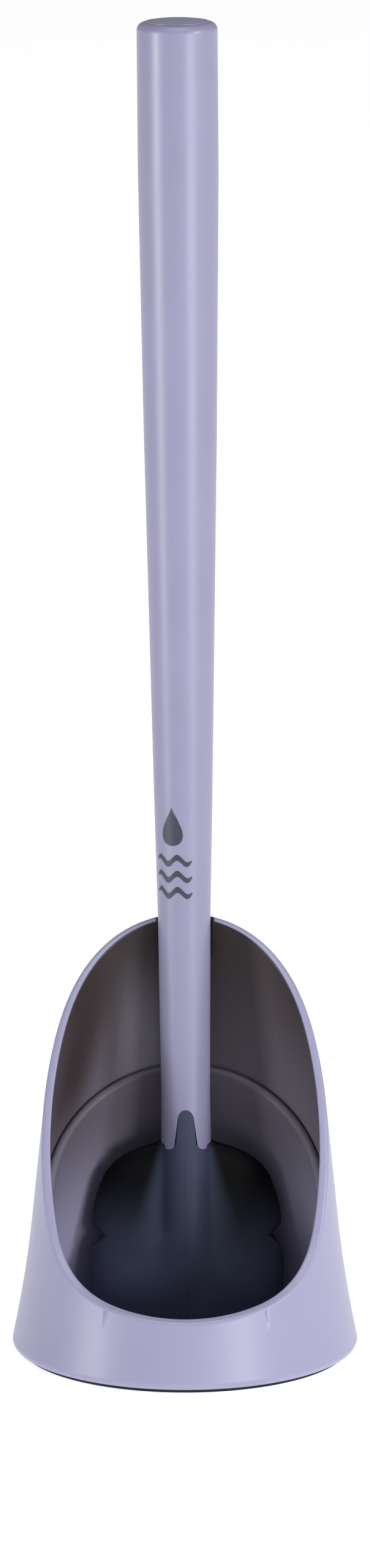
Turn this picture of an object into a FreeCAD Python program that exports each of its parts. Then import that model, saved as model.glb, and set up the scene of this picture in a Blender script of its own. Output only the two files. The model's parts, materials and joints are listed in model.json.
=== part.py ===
import FreeCAD, Part
import math
import os
import Sketcher
from FreeCAD import Vector

# Toilet plunger standing in its holder, as a parametric assembly of eight separate pieces.
#
# Units are millimetres. +Z is up, the origin is on the floor under the middle of the holder, and the
# cut-away front of the holder faces -Y. The plunger's pieces are drawn upright about their own axis,
# with the rubber head's lip at z = 0, and are then placed together, leaning back into the recess in
# the holder's rim.

SIZES = {
    # holder shell
    "base_radius": (65.7, "outer radius of the shell at its foot, before the edge is rounded"),
    "shell_foot": (1.5, "height of the shell's lower edge above the floor"),
    "shell_wall": (3.4, "wall thickness of the shell"),
    "flare_height": (51.5, "height at which the flare of the foot meets the straight cone"),
    "flare_arc": (441.0, "radius of the hollow curve of the flare"),
    "cone_slope": (0.104, "inward run of the straight cone per unit of height"),
    "foot_round": (2.3, "radius on the shell's lower outer edge"),
    "lip_rise": (0.45, "rise of the rim per unit of depth at the front"),
    "toe_depth": (-52.0, "depth at which the rim starts to turn up"),
    "toe_height": (30.3, "height of the rim there"),
    "toe_round": (60.0, "radius of that turn"),
    "side_depth": (-27.0, "depth at which the rim's straight side starts"),
    "side_height": (51.8, "height of the rim there"),
    "crest_depth": (12.0, "depth at which the rim's straight side ends"),
    "crest_height": (117.2, "height of the rim there"),
    "crest_round": (180.0, "radius with which the rim eases off towards the back"),
    "back_depth": (48.0, "depth just behind the back wall"),
    "back_height": (160.3, "height of the rim at the back"),
    "rim_round": (1.5, "radius on the outer edge of the rim"),
    "rim_ease": (0.8, "radius on the inner edge of the rim"),
    "recess_width": (20.8, "width of the recess the handle rests in"),
    "recess_skin": (1.0, "wall left behind the recess at the top"),
    # drip cup and the ring under it
    "cup_gap": (0.35, "clearance between cup and shell"),
    "cup_wall": (3.4, "wall thickness of the cup"),
    "cup_underside": (1.8, "height of the cup's underside"),
    "cup_floor": (4.5, "height of the cup's floor"),
    "cup_back_depth": (48.0, "depth at which the height of the cup's back is given"),
    "cup_back": (98.2, "height of the cup's rim there"),
    "cup_rise": (0.74, "rise of the cup's rim per unit of depth"),
    "cup_lip_round": (1.45, "radius on both edges of the cup's rim"),
    "cup_corner": (2.5, "radius between the cup's floor and its wall"),
    "ring_outer": (61.6, "outer radius of the non-slip ring"),
    "ring_inner": (52.0, "inner radius of the non-slip ring"),
    # where the plunger stands
    "stand_side": (0.9, "sideways offset of the head's middle, to the right"),
    "stand_depth": (28.9, "depth of the head's middle behind the holder's axis"),
    "stand_height": (5.8, "height of the head's lip on the plunger's axis"),
    "lean_back": (1.8, "backward lean of the plunger in degrees"),
    "lean_side": (0.45, "sideways lean of the plunger in degrees"),
    # handle
    "handle_top": (492.9, "height of the tube's top edge above the head's lip"),
    "grip_radius": (15.05, "radius of the grip"),
    "grip_start": (436.0, "height at which the grip stops widening"),
    "upper_radius": (13.65, "radius of the handle's upper taper at mid length"),
    "upper_height": (335.0, "height of that point"),
    "lower_radius": (11.05, "radius of the handle's lower taper"),
    "lower_height": (200.0, "height of that point"),
    "waist_radius": (9.9, "radius where the handle crosses the holder's rim"),
    "waist_height": (151.0, "height of that point"),
    "neck_radius": (9.3, "radius just above the fork"),
    "neck_height": (84.0, "height of the neck"),
    "fork_radius": (9.55, "radius at the tips of the fork"),
    "fork_tip": (64.6, "height of the fork's tips"),
    "grip_edge": (3.0, "rounding of the tube's top edge"),
    "bore_radius": (6.6, "radius of the lower bore"),
    "bore_top": (150.0, "height at which the bore starts to widen"),
    "hollow_radius": (10.6, "radius of the bore under the grip"),
    "hollow_start": (330.0, "height at which the bore is fully wide"),
    "slot_top": (77.4, "height at which the fork's slot turns into its arch"),
    "slot_top_half": (3.0, "half width of the slot there"),
    "slot_foot_half": (4.3, "half width of the slot at the tips"),
    "prong_round": (2.6, "rounding of the prongs' inner corners"),
    # end cap
    "cap_radius": (11.8, "radius of the cap's disc"),
    "cap_sink": (2.4, "depth of the seat the cap's disc lies in"),
    "cap_crown": (1.3, "rise of the crown above the tube's top edge"),
    "cap_brim": (0.3, "rise of the disc's edge above the tube's top edge"),
    "cap_plug": (14.0, "length of the cap's spigot below the disc"),
    "cap_plug_wall": (2.0, "wall of the cap's spigot"),
    "press_gap": (0.06, "clearance of the pressed joints"),
    # rubber head
    "lobe_half_width": (37.2, "half width of the head at its lower lobe"),
    "lobe_half_depth": (18.0, "half depth of the head at its lower lobe"),
    "wing_half": (4.8, "half thickness of the side wings at the axis"),
    "wing_top": (66.2, "height of the wings where they leave the neck"),
    "notch_height": (26.8, "height of the side notches"),
    "notch_tip": (32.0, "distance of a notch's tip from the axis"),
    "notch_up": (4.0, "height of a notch above its tip at the lobe's side"),
    "notch_down": (6.4, "height of a notch below its tip at the lobe's side"),
    "lip_wall": (4.2, "rubber thickness at the lip"),
    "cavity_top": (45.0, "height of the cavity's closed end"),
    "tongue_gap": (0.08, "clearance between the rubber and the fork"),
    # rigid core and cross pin
    "core_radius": (4.0, "radius of the core's rod"),
    "core_foot": (50.0, "height of the core's lower end"),
    "flange_radius": (7.2, "radius of the core's flange"),
    "flange_thick": (4.0, "thickness of the flange"),
    "core_shoulder": (81.5, "height at which the core fills the bore"),
    "core_top": (118.0, "height of the core's upper end"),
    "pin_radius": (1.5, "radius of the cross pin"),
    "pin_height": (98.0, "height of the cross pin"),
    "pin_inset": (0.3, "how far the pin's ends lie below the handle's surface"),
}

# Cross-sections of the trumpet that swells from the neck into the lower lobe. Each ellipse is given by
# its height as a share of the wings' height, and by its half width and half depth as shares of the
# lobe's.
TRUMPET = (
    (0.000, 0.925, 0.860),
    (0.040, 0.960, 0.930),
    (0.100, 0.990, 0.975),
    (0.200, 1.000, 1.000),
    (0.280, 0.995, 0.995),
    (0.335, 0.945, 0.965),
    (0.380, 0.850, 0.915),
    (0.430, 0.715, 0.855),
    (0.490, 0.580, 0.785),
    (0.570, 0.455, 0.715),
    (0.680, 0.355, 0.645),
    (0.810, 0.300, 0.585),
    (0.960, 0.268, 0.540),
)

# Cross-sections of the side wings, in the same way, with the half depth as a share of the wings' half
# thickness. The first rows lie inside the lobe; the last ones form the shoulder.
WINGS = (
    (0.300, 0.985, 1.00),
    (0.420, 0.992, 1.00),
    (0.540, 0.978, 1.00),
    (0.660, 0.940, 1.00),
    (0.760, 0.890, 1.00),
    (0.840, 0.815, 1.00),
    (0.900, 0.705, 1.00),
    (0.945, 0.565, 0.97),
    (0.975, 0.415, 0.92),
    (1.000, 0.245, 0.85),
)

# Cross-sections of the cavity inside it, in the same way: the height as a share of the cavity's, the
# half width and half depth as shares of the lobe's less the rubber at the lip.
CAVITY = (
    (0.000, 0.930, 0.840),
    (0.300, 0.960, 0.960),
    (0.480, 0.780, 0.860),
    (0.720, 0.400, 0.620),
    (1.000, 0.200, 0.420),
)


class Term:
    """A length that knows both its value and the spreadsheet expression that drives it."""

    def __init__(self, value, text):
        self.value = value
        self.text = text

    def _join(self, other, sign, value):
        other_text = other.text if isinstance(other, Term) else repr(other)
        return Term(value, f"({self.text} {sign} {other_text})")

    def __add__(self, other):
        return self._join(other, "+", self.value + number(other))

    def __sub__(self, other):
        return self._join(other, "-", self.value - number(other))

    def __mul__(self, other):
        return self._join(other, "*", self.value * number(other))

    def __truediv__(self, other):
        return self._join(other, "/", self.value / number(other))

    def __neg__(self):
        return Term(-self.value, f"(0 - {self.text})")


def number(item):
    """Plain number behind a term or a number."""
    return item.value if isinstance(item, Term) else float(item)


def root(item):
    """Square root of a term."""
    return Term(math.sqrt(item.value), f"sqrt({item.text})")


def make_sheet(doc):
    """Spreadsheet with one row per driving size."""
    sheet = doc.addObject("Spreadsheet::Sheet", "Sizes")
    for row, (name, (value, note)) in enumerate(SIZES.items(), start=1):
        sheet.set(f"A{row}", name)
        sheet.set(f"B{row}", str(value))
        sheet.set(f"C{row}", note)
        sheet.setAlias(f"B{row}", name)
    doc.recompute()
    return sheet


def size(name):
    """Term for one spreadsheet size."""
    return Term(SIZES[name][0], f"Sizes.{name}")


def bind(obj, prop, term):
    """Drive a property of an object from the spreadsheet."""
    obj.setExpression(prop, term.text)


def plane_of(body, role):
    """One of a body's own origin planes or axes, by its role."""
    return next(item for item in body.Origin.OriginFeatures if item.Role == role)


def new_body(doc, name):
    """Empty body with its label."""
    body = doc.addObject("PartDesign::Body", name)
    body.Label = name
    return body


def new_sketch(body, name, role, offset=None):
    """Sketch on one of the body's origin planes, moved along the plane's normal by an offset."""
    sketch = body.newObject("Sketcher::SketchObject", name)
    sketch.AttachmentSupport = [(plane_of(body, role), "")]
    sketch.MapMode = "FlatFace"
    if offset is not None:
        bind(sketch, "AttachmentOffset.Base.z", offset)
    return sketch


def fix_point(sketch, geo, end, x, y):
    """Tie one end of a piece of geometry to a position driven by the spreadsheet."""
    for kind, term in (("DistanceX", x), ("DistanceY", y)):
        if isinstance(term, Term):
            index = sketch.addConstraint(Sketcher.Constraint(kind, -1, 1, geo, end, term.value))
            sketch.setExpression(f"Constraints[{index}]", term.text)
        else:
            sketch.addConstraint(Sketcher.Constraint(kind, -1, 1, geo, end, float(term)))


def arc_between(start, end, radius, side):
    """Counter-clockwise arc of a given radius between two points.

    side: 1 if the arc bulges to the left on the way from start to end, -1 if to the right. The arc
    runs from end to start in the first case.
    """
    chord = end - start
    reach = math.sqrt(radius**2 - (chord.Length / 2) ** 2)
    normal = Vector(-chord.y, chord.x, 0).normalize()
    centre = (start + end) * 0.5 - normal * (reach * side)
    first, last = (end, start) if side == 1 else (start, end)
    angles = [math.atan2(point.y - centre.y, point.x - centre.x) for point in (first, last)]
    return Part.ArcOfCircle(Part.Circle(centre, Vector(0, 0, 1), radius), *angles)


def loop(sketch, points, arcs=None):
    """Closed outline through the points, each tied to the spreadsheet.

    points: list of (x, y), terms or numbers. arcs: {index: (radius, side)} for edges that start at a
    point and are arcs, not lines. An arc is tied by its two ends and its radius.
    """
    arcs = arcs or {}
    corners = [Vector(number(x), number(y), 0) for x, y in points]
    forward = []
    for i, start in enumerate(corners):
        end = corners[(i + 1) % len(corners)]
        if i in arcs:
            radius, side = arcs[i]
            geo = sketch.addGeometry(arc_between(start, end, radius.value, side), False)
            forward.append((geo, 2, 1) if side == 1 else (geo, 1, 2))
        else:
            geo = sketch.addGeometry(Part.LineSegment(start, end), False)
            forward.append((geo, 1, 2))
    for i, (geo, _, last) in enumerate(forward):
        following, first, _ = forward[(i + 1) % len(forward)]
        sketch.addConstraint(Sketcher.Constraint("Coincident", geo, last, following, first))
    for (geo, first, _), (x, y) in zip(forward, points):
        fix_point(sketch, geo, first, x, y)
    for i, (radius, _) in arcs.items():
        index = sketch.addConstraint(Sketcher.Constraint("Radius", forward[i][0], radius.value))
        sketch.setExpression(f"Constraints[{index}]", radius.text)


def circle(sketch, radius, x=0.0, y=0.0):
    """Circle tied by its centre and radius."""
    geo = sketch.addGeometry(Part.Circle(Vector(number(x), number(y), 0), Vector(0, 0, 1), radius.value))
    fix_point(sketch, geo, 3, x, y)
    index = sketch.addConstraint(Sketcher.Constraint("Radius", geo, radius.value))
    sketch.setExpression(f"Constraints[{index}]", radius.text)


def ellipse(sketch, half_x, half_y):
    """Ellipse about the sketch's origin, tied by its two half axes; half_x is the longer one."""
    shape = Part.Ellipse(Vector(half_x.value, 0, 0), Vector(0, half_y.value, 0), Vector(0, 0, 0))
    geo = sketch.addGeometry(shape)
    sketch.exposeInternalGeometry(geo)
    sketch.addConstraint(Sketcher.Constraint("Coincident", geo, 3, -1, 1))
    major, minor = geo + 1, geo + 2
    sketch.addConstraint(Sketcher.Constraint("Horizontal", major))
    for line, term in ((major, half_x * 2), (minor, half_y * 2)):
        index = sketch.addConstraint(Sketcher.Constraint("Distance", line, term.value))
        sketch.setExpression(f"Constraints[{index}]", term.text)


def revolve(body, sketch, name, kind="PartDesign::Revolution"):
    """Full turn of a sketch about its own vertical axis."""
    feature = body.newObject(kind, name)
    feature.Profile = sketch
    feature.ReferenceAxis = (sketch, ["V_Axis"])
    feature.Angle = 360
    return feature


def extrude(body, sketch, name, kind, length, midplane=False, reverse=False):
    """Pad or pocket of a sketch."""
    feature = body.newObject(kind, name)
    feature.Profile = sketch
    feature.Type = 0
    bind(feature, "Length", length)
    feature.Midplane = midplane
    feature.Reversed = reverse
    return feature


def loft(body, name, kind, sketches):
    """Loft through a row of sketches."""
    feature = body.newObject(kind, name)
    feature.Profile = sketches[0]
    feature.Sections = sketches[1:]
    return feature


def dress(body, base, name, kind, radius, picked):
    """Fillet or chamfer on the edges of a feature that a test picks out."""
    edges = [f"Edge{i}" for i, edge in enumerate(base.Shape.Edges, start=1) if picked(edge)]
    feature = body.newObject(kind, name)
    feature.Base = (base, edges)
    bind(feature, "Radius", radius)
    return feature


def flare_radius(inset):
    """Radius where the shell's flare meets its cone, some way inside the outer surface."""
    rise = size("flare_height") - size("shell_foot")
    drawn_in = rise * (size("cone_slope") + rise / (size("flare_arc") * 2))
    return size("base_radius") - drawn_in - inset


def cone_radius(height, inset):
    """Radius of the straight cone at a height, some way inside the outer surface."""
    return flare_radius(inset) - (height - size("flare_height")) * size("cone_slope")


def handle_radius(height):
    """Outer radius of the handle between its neck and its waist."""
    share = (height - size("neck_height")) / (size("waist_height") - size("neck_height"))
    return size("neck_radius") + (size("waist_radius") - size("neck_radius")) * share


def on_cut(shape, edge):
    """Whether an edge runs along the rim that a cut across the wall has left."""
    kinds = {type(face.Surface).__name__ for face in shape.ancestorsOfType(edge, Part.Face)}
    wall = kinds & {"Cone", "Toroid"}
    cut = kinds & {"Plane", "Cylinder"}
    return bool(wall and cut)


def rim_edges(shape, outside, lowest):
    """Test that picks the outer or the inner edges of a cut rim above a height."""

    def picked(edge):
        if edge.BoundBox.ZMin < lowest or not on_cut(shape, edge):
            return False
        point = edge.valueAt((edge.FirstParameter + edge.LastParameter) / 2)
        radius = math.hypot(point.x, point.y)
        step = -1.0 if outside else 1.0
        probe = Vector(point.x, point.y, 0) * ((radius + step) / radius) + Vector(0, 0, point.z - 2.5)
        return shape.isInside(probe, 1e-4, True)

    return picked


def make_shell(doc):
    """Flared cone with a cut-away front, a rounded rim and a shallow recess for the handle."""
    body = new_body(doc, "holder_shell")
    wall = size("shell_wall")
    foot, flare, back = size("shell_foot"), size("flare_height"), size("back_height")
    top = back + 15
    profile = new_sketch(body, "ShellProfile", "XZ_Plane")
    points = [
        (size("base_radius") - wall, foot),
        (size("base_radius"), foot),
        (flare_radius(0.0), flare),
        (cone_radius(top, 0.0), top),
        (cone_radius(top, wall), top),
        (flare_radius(wall), flare),
    ]
    loop(profile, points, {1: (size("flare_arc"), 1), 5: (size("flare_arc") + wall, -1)})
    revolve(body, profile, "ShellCone")

    front = size("base_radius") * 1.2
    cut = new_sketch(body, "RimCurve", "YZ_Plane")
    points = [
        (-front, size("toe_height") - (front + size("toe_depth")) * size("lip_rise")),
        (size("toe_depth"), size("toe_height")),
        (size("side_depth"), size("side_height")),
        (size("crest_depth"), size("crest_height")),
        (size("back_depth"), back),
        (front, back),
        (front, top + 5),
        (-front, top + 5),
    ]
    loop(cut, points, {1: (size("toe_round"), -1), 3: (size("crest_round"), 1)})
    rim = extrude(body, cut, "RimCut", "PartDesign::Pocket", size("base_radius") * 3, midplane=True)
    doc.recompute()

    lowest = size("shell_foot").value + 2
    outer = dress(body, rim, "RimRound", "PartDesign::Fillet", size("rim_round"),
                  rim_edges(rim.Shape, True, lowest))
    doc.recompute()
    inner = dress(body, outer, "RimEase", "PartDesign::Fillet", size("rim_ease"),
                  rim_edges(outer.Shape, False, lowest))
    doc.recompute()
    reach = size("base_radius").value - 0.5
    foot_edge = dress(body, inner, "FootRound", "PartDesign::Fillet", size("foot_round"),
                      lambda edge: edge.BoundBox.ZMax < foot.value + 0.01 and edge.BoundBox.XMax > reach)
    doc.recompute()

    floor = cone_radius(back, 0.0) - size("recess_skin")
    half = size("recess_width") / 2
    near = size("recess_width") * 1.5
    recess = new_sketch(body, "RecessOutline", "XY_Plane")
    side = root(floor * floor - half * half)
    loop(recess, [(-half, near), (half, near), (half, side), (-half, side)], {2: (floor, -1)})
    extrude(body, recess, "HandleRecess", "PartDesign::Pocket", top, reverse=True)
    return [body]


def make_cup(doc):
    """Drip cup: a lining of the shell's lower part with a floor and a slanted, rounded rim."""
    body = new_body(doc, "drip_cup")
    outer = size("shell_wall") + size("cup_gap")
    inner = outer + size("cup_wall")
    base, arc = size("base_radius"), size("flare_arc")
    under, floor, flare = size("cup_underside"), size("cup_floor"), size("flare_height")
    top = size("cup_back") + 20
    profile = new_sketch(body, "CupProfile", "XZ_Plane")
    points = [
        (0, under),
        (base - outer, under),
        (flare_radius(outer), flare),
        (cone_radius(top, outer), top),
        (cone_radius(top, inner), top),
        (flare_radius(inner), flare),
        (base - inner, floor),
        (0, floor),
    ]
    loop(profile, points, {1: (arc + outer, 1), 5: (arc + inner, -1)})
    revolve(body, profile, "CupWall")

    reach = base * 1.2
    slant = new_sketch(body, "CupRimLine", "YZ_Plane")
    rise = size("cup_rise")
    points = [
        (-reach, size("cup_back") - (reach + size("cup_back_depth")) * rise),
        (reach, size("cup_back") + (reach - size("cup_back_depth")) * rise),
        (reach, top * 2),
        (-reach, top * 2),
    ]
    loop(slant, points)
    cut = extrude(body, slant, "CupRimCut", "PartDesign::Pocket", base * 3, midplane=True)
    doc.recompute()
    lowest = floor.value + 3
    lip = dress(body, cut, "CupRimOuter", "PartDesign::Fillet", size("cup_lip_round"),
                rim_edges(cut.Shape, True, lowest))
    doc.recompute()
    lip = dress(body, lip, "CupRimInner", "PartDesign::Fillet", size("cup_lip_round"),
                rim_edges(lip.Shape, False, lowest))
    doc.recompute()
    edge_reach = (base - inner).value - 0.5

    def corner(edge):
        box = edge.BoundBox
        return abs(box.ZMin - floor.value) < 0.01 and box.ZLength < 0.01 and box.XMax > edge_reach

    dress(body, lip, "CupCorner", "PartDesign::Fillet", size("cup_corner"), corner)
    return [body]


def make_ring(doc):
    """Flat rubber ring under the cup, on which the holder stands."""
    body = new_body(doc, "non_slip_ring")
    profile = new_sketch(body, "RingProfile", "XZ_Plane")
    inner, outer, top = size("ring_inner"), size("ring_outer"), size("cup_underside")
    loop(profile, [(inner, 0), (outer, 0), (outer, top), (inner, top)])
    revolve(body, profile, "Ring")
    return [body]


def make_handle(doc):
    """Tapered hollow handle with a two-pronged fork at its lower end and a seat for the end cap."""
    body = new_body(doc, "handle_tube")
    tip, top = size("fork_tip"), size("handle_top")
    seat = size("cap_radius") + size("press_gap")
    profile = new_sketch(body, "HandleProfile", "XZ_Plane")
    points = [
        (size("bore_radius"), tip),
        (size("fork_radius"), tip),
        (size("neck_radius"), size("neck_height")),
        (size("waist_radius"), size("waist_height")),
        (size("lower_radius"), size("lower_height")),
        (size("upper_radius"), size("upper_height")),
        (size("grip_radius"), size("grip_start")),
        (size("grip_radius"), top),
        (seat, top),
        (seat, top - size("cap_sink")),
        (size("hollow_radius"), top - size("cap_sink")),
        (size("hollow_radius"), size("hollow_start")),
        (size("bore_radius"), size("bore_top")),
    ]
    loop(profile, points)
    revolve(body, profile, "Tube")

    slot = new_sketch(body, "SlotOutline", "XZ_Plane")
    foot, arch, turn = size("slot_foot_half"), size("slot_top_half"), size("prong_round")
    below = tip - turn
    right = [
        (foot + turn, below),
        (foot + turn, tip),
        (foot, tip + turn),
        (arch, size("slot_top")),
    ]
    left = [(-x, z) for x, z in reversed(right)]
    loop(slot, right + left, {1: (turn, 1), 3: (arch * 1.02, -1), 5: (turn, 1)})
    fork = extrude(body, slot, "ForkSlot", "PartDesign::Pocket", size("grip_radius") * 4, midplane=True)
    doc.recompute()

    def top_edge(edge):
        box = edge.BoundBox
        return box.ZMin > top.value - 0.01 and box.XMax > size("grip_radius").value - 0.01

    dress(body, fork, "GripEdge", "PartDesign::Fillet", size("grip_edge"), top_edge)
    hole = new_sketch(body, "PinHoleOutline", "YZ_Plane")
    circle(hole, size("pin_radius") + size("press_gap"), 0.0, size("pin_height"))
    extrude(body, hole, "PinHole", "PartDesign::Pocket", size("grip_radius") * 4, midplane=True)
    return [body]


def make_cap(doc):
    """Crowned end cap with a hollow spigot pressed into the top of the handle."""
    body = new_body(doc, "handle_end_cap")
    top = size("handle_top")
    disc, seat = size("cap_radius"), top - size("cap_sink")
    plug = size("hollow_radius") - size("press_gap")
    crown = size("cap_crown") - size("cap_brim")
    crown_arc = (disc * disc + crown * crown) / (crown * 2)
    foot = seat - size("cap_plug")
    profile = new_sketch(body, "CapProfile", "XZ_Plane")
    points = [
        (0, top + size("cap_crown")),
        (0, seat),
        (plug - size("cap_plug_wall"), seat),
        (plug - size("cap_plug_wall"), foot),
        (plug, foot),
        (plug, seat),
        (disc, seat),
        (disc, top + size("cap_brim")),
    ]
    loop(profile, points, {7: (crown_arc, -1)})
    revolve(body, profile, "Cap")
    return [body]


def make_core(doc):
    """Rigid core: a flanged rod moulded into the rubber, with a spigot that fills the lower bore."""
    body = new_body(doc, "head_core")
    foot, shoulder, top = size("core_foot"), size("core_shoulder"), size("core_top")
    rod, spigot = size("core_radius"), size("bore_radius") - size("press_gap")
    flange = size("flange_radius")
    over = foot + size("flange_thick")
    profile = new_sketch(body, "CoreProfile", "XZ_Plane")
    points = [
        (0, foot),
        (flange, foot),
        (flange, over),
        (rod, over),
        (rod, shoulder),
        (spigot, shoulder),
        (spigot, top),
        (0, top),
    ]
    loop(profile, points)
    revolve(body, profile, "Core")
    hole = new_sketch(body, "CorePinOutline", "YZ_Plane")
    circle(hole, size("pin_radius") + size("press_gap"), 0.0, size("pin_height"))
    extrude(body, hole, "CorePinHole", "PartDesign::Pocket", size("grip_radius") * 4, midplane=True)
    return [body]


def make_pin(doc):
    """Cross pin that locks the core into the handle."""
    body = new_body(doc, "core_pin")
    outline = new_sketch(body, "PinOutline", "YZ_Plane")
    circle(outline, size("pin_radius"), 0.0, size("pin_height"))
    length = (handle_radius(size("pin_height")) - size("pin_inset")) * 2
    extrude(body, outline, "Pin", "PartDesign::Pad", length, midplane=True)
    return [body]


def ellipse_row(body, name, rows, height, half_width, half_depth):
    """Row of ellipse sketches stacked along the plunger's axis, for a loft."""
    sketches = []
    for i, (up, across, deep) in enumerate(rows):
        sketch = new_sketch(body, f"{name}{i}", "XY_Plane", height * up)
        ellipse(sketch, half_width * across, half_depth * deep)
        sketches.append(sketch)
    return sketches


def make_head(doc):
    """Rubber head: a trumpet that swells into a lobe, two notched side wings, and a neck in the fork."""
    body = new_body(doc, "plunger_head")
    wide, deep = size("lobe_half_width"), size("lobe_half_depth")
    rows = ellipse_row(body, "WingSection", WINGS, size("wing_top"), wide, size("wing_half"))
    loft(body, "Wings", "PartDesign::AdditiveLoft", rows)
    make_neck(body)
    rows = ellipse_row(body, "TrumpetSection", TRUMPET, size("wing_top"), wide, deep)
    loft(body, "Trumpet", "PartDesign::AdditiveLoft", rows)

    notch = new_sketch(body, "NotchOutline", "XZ_Plane")
    middle, tip = size("notch_height"), size("notch_tip")
    span = wide - tip
    points = [
        (tip, middle),
        (tip + span * 2, middle - size("notch_down") * 2),
        (tip + span * 2, middle + size("notch_up") * 2),
    ]
    loop(notch, points)
    loop(notch, [(-x, z) for x, z in reversed(points)])
    extrude(body, notch, "Notches", "PartDesign::Pocket", deep * 4, midplane=True)

    rows = ellipse_row(body, "CavitySection", CAVITY, size("cavity_top"),
                       wide - size("lip_wall"), deep - size("lip_wall"))
    loft(body, "Cavity", "PartDesign::SubtractiveLoft", rows)
    make_room(body)
    return [body]


def make_neck(body):
    """Seat for the fork's tips, with a plug for the bore and a tongue for the fork's slot above it."""
    gap, tip, top = size("tongue_gap"), size("fork_tip"), size("core_shoulder")
    seat = new_sketch(body, "TipSeatProfile", "XZ_Plane")
    low, high, outer = tip - gap, size("slot_top") * 1.1, size("fork_radius") + gap
    loop(seat, [(0, low), (outer, low), (outer, high), (0, high)])
    revolve(body, seat, "TipSeat", "PartDesign::Groove")

    plug = new_sketch(body, "PlugProfile", "XZ_Plane")
    foot, reach = size("core_foot") + size("flange_thick"), size("bore_radius") - gap
    loop(plug, [(0, foot), (reach, foot), (reach, top - gap), (0, top - gap)])
    revolve(body, plug, "Plug")

    tongue = new_sketch(body, "TongueOutline", "XZ_Plane")
    wide, narrow = size("slot_foot_half") - gap, size("slot_top_half") - gap
    right = [(wide, foot), (wide, tip + size("prong_round")), (narrow, size("slot_top"))]
    left = [(-x, z) for x, z in reversed(right)]
    loop(tongue, right + left, {2: (narrow * 1.02, -1)})
    flush = size("neck_radius") - gap
    extrude(body, tongue, "Tongue", "PartDesign::Pad", flush * 2, midplane=True)

    trim = new_sketch(body, "TongueTrimProfile", "XZ_Plane")
    far = flush * 1.13
    loop(trim, [(flush, tip), (far, tip), (far, high), (flush, high)])
    revolve(body, trim, "TongueTrim", "PartDesign::Groove")


def make_room(body):
    """Room for the rigid core inside the rubber."""
    sketch = new_sketch(body, "CoreRoomProfile", "XZ_Plane")
    foot, over = size("core_foot"), size("core_foot") + size("flange_thick")
    top = size("core_shoulder") + 5
    points = [
        (0, foot),
        (size("flange_radius"), foot),
        (size("flange_radius"), over),
        (size("core_radius"), over),
        (size("core_radius"), top),
        (0, top),
    ]
    loop(sketch, points)
    revolve(body, sketch, "CoreRoom", "PartDesign::Groove")


def stand(bodies):
    """Lean the plunger's pieces together and stand them in the cup."""
    for body in bodies:
        body.setExpression("Placement.Base.x", "Sizes.stand_side")
        body.setExpression("Placement.Base.y", "Sizes.stand_depth")
        body.setExpression("Placement.Base.z", "Sizes.stand_height")
        body.setExpression(
            "Placement.Rotation.Angle",
            "sqrt(Sizes.lean_back * Sizes.lean_back + Sizes.lean_side * Sizes.lean_side)",
        )
        body.setExpression("Placement.Rotation.Axis.x", "0 - Sizes.lean_back")
        body.setExpression("Placement.Rotation.Axis.y", "0 - Sizes.lean_side")
        body.setExpression("Placement.Rotation.Axis.z", "0 * Sizes.lean_back")


def check(doc):
    """Stop if any object failed to compute."""
    for obj in doc.Objects:
        bad = {"Invalid", "Error"} & set(obj.State)
        if bad:
            raise RuntimeError(f"{obj.Name} is {sorted(bad)}")


def main():
    doc = FreeCAD.newDocument("toilet_plunger")
    make_sheet(doc)
    holder = make_shell(doc) + make_cup(doc) + make_ring(doc)
    plunger = make_handle(doc) + make_cap(doc) + make_core(doc) + make_pin(doc) + make_head(doc)
    stand(plunger)
    doc.recompute()
    check(doc)
    os.makedirs("parts", exist_ok=True)
    for body in holder + plunger:
        if body.Shape.isNull() or not body.Shape.isValid():
            raise RuntimeError(f"{body.Label} has no valid shape")
        body.Shape.exportStep(f"parts/{body.Label}.step")
        print(f"{body.Label}: {body.Shape.Volume:.0f} mm3, {len(body.Shape.Solids)} solid(s)")


main()
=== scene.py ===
"""Looks, light, floor and camera for a holder and toilet plunger set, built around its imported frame."""

import json
import logging
import math
from dataclasses import dataclass, field
from enum import Enum
from functools import cache
from typing import Any

import bpy
import numpy as np
from mathutils import Euler, Matrix, Vector

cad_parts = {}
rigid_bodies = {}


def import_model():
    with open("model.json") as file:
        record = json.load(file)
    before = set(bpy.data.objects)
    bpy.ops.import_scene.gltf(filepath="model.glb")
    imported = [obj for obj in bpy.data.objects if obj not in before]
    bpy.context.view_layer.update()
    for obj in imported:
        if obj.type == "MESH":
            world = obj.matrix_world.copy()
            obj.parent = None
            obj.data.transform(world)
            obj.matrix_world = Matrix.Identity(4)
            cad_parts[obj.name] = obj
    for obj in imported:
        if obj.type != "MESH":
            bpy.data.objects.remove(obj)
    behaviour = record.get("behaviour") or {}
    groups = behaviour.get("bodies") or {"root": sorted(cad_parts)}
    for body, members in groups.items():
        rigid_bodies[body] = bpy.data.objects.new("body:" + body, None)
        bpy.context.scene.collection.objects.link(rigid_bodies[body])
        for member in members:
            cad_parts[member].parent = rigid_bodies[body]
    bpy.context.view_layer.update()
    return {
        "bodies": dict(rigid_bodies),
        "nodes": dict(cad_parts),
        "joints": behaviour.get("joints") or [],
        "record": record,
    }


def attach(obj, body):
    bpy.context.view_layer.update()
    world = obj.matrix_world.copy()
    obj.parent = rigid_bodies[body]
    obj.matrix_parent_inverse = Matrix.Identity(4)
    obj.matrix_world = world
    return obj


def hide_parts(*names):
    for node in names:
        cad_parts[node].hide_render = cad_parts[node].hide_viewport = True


LOG = logging.getLogger("plunger_set")
MILLI = 0.001

Colour = tuple[float, float, float]
Triple = tuple[float, float, float]
Pair = tuple[float, float]
Number = float | int


class Body(Enum):
    """The bodies that pieces ride on."""

    BASE = "base"
    SHELL = "shell"
    PLUNGER = "plunger"


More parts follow.
